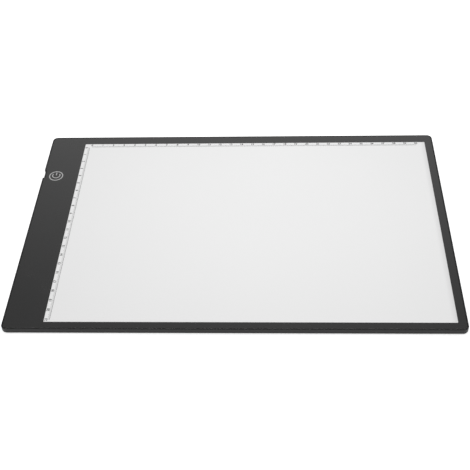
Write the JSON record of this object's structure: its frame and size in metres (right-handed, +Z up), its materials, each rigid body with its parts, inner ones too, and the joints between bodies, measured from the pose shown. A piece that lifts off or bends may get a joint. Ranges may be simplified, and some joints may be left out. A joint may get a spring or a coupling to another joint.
{
  "type": "led tracing pad",
  "caption": "Flat edge-lit tracing pad: thin black tray with a flush panel, lit white window, wide left border over the driver board, and a micro-USB socket in a notch.",
  "frame": {"origin": "middle of the pad's outline, at the level of the table under its feet", "axes": "+X along the long side, away from the wide border; +Y towards the back edge; +Z up out of the drawing surface"},
  "size_m": [0.354, 0.235, 0.005],
  "materials": {
    "tray_plastic": "fine satin moulding texture, black ABS",
    "foot_rubber": "matt soft rubber",
    "opal_acrylic": "milky acrylic sheet, satin",
    "border_black": "smooth glossy black film",
    "white_film": "matt white polyester film",
    "guide_acrylic": "clear polished acrylic with a printed dot pattern",
    "white_board": "white solder mask with yellow-white LED packages",
    "adhesive_tape": "translucent double-sided tape",
    "socket_steel": "tin-plated drawn steel",
    "socket_plastic": "black moulded insulator",
    "contact_gold": "gold flash over brass",
    "green_board": "green solder mask on glass laminate",
    "black_foam": "soft black foam",
    "chip_epoxy": "moulded black epoxy with tinned ends",
    "capacitor_ceramic": "fired tan ceramic with tinned ends",
    "red_insulation": "red PVC insulation",
    "black_insulation": "black PVC insulation"
  },
  "bodies": {
    "root": {"back_shell": "tray_plastic", "foot_front_left": "foot_rubber", "foot_front_right": "foot_rubber", "foot_back_left": "foot_rubber", "foot_back_right": "foot_rubber", "front_panel": "opal_acrylic", "border_film": "border_black", "reflector_sheet": "white_film", "light_guide_plate": "guide_acrylic", "diffuser_sheet": "white_film", "edge_tape_right": "white_film", "edge_tape_back": "white_film", "edge_tape_front": "white_film", "led_strip": "white_board", "led_strip_tape": "adhesive_tape", "panel_tape_left_front": "adhesive_tape", "panel_tape_left_back": "adhesive_tape", "panel_tape_right": "adhesive_tape", "panel_tape_front": "adhesive_tape", "panel_tape_back": "adhesive_tape", "panel_tape_partition": "adhesive_tape", "usb_shell": "socket_steel", "usb_tongue": "socket_plastic", "usb_contact_1": "contact_gold", "usb_contact_2": "contact_gold", "usb_contact_3": "contact_gold", "usb_contact_4": "contact_gold", "usb_contact_5": "contact_gold", "control_board": "green_board", "board_tape": "black_foam", "touch_foam": "black_foam", "touch_controller": "chip_epoxy", "dimming_transistor": "chip_epoxy", "input_capacitor": "capacitor_ceramic", "touch_capacitor": "capacitor_ceramic", "ballast_resistor_1": "chip_epoxy", "ballast_resistor_2": "chip_epoxy", "ballast_resistor_3": "chip_epoxy", "reverse_diode": "chip_epoxy", "red_lead": "red_insulation", "black_lead": "black_insulation"}
  },
  "joints": []
}
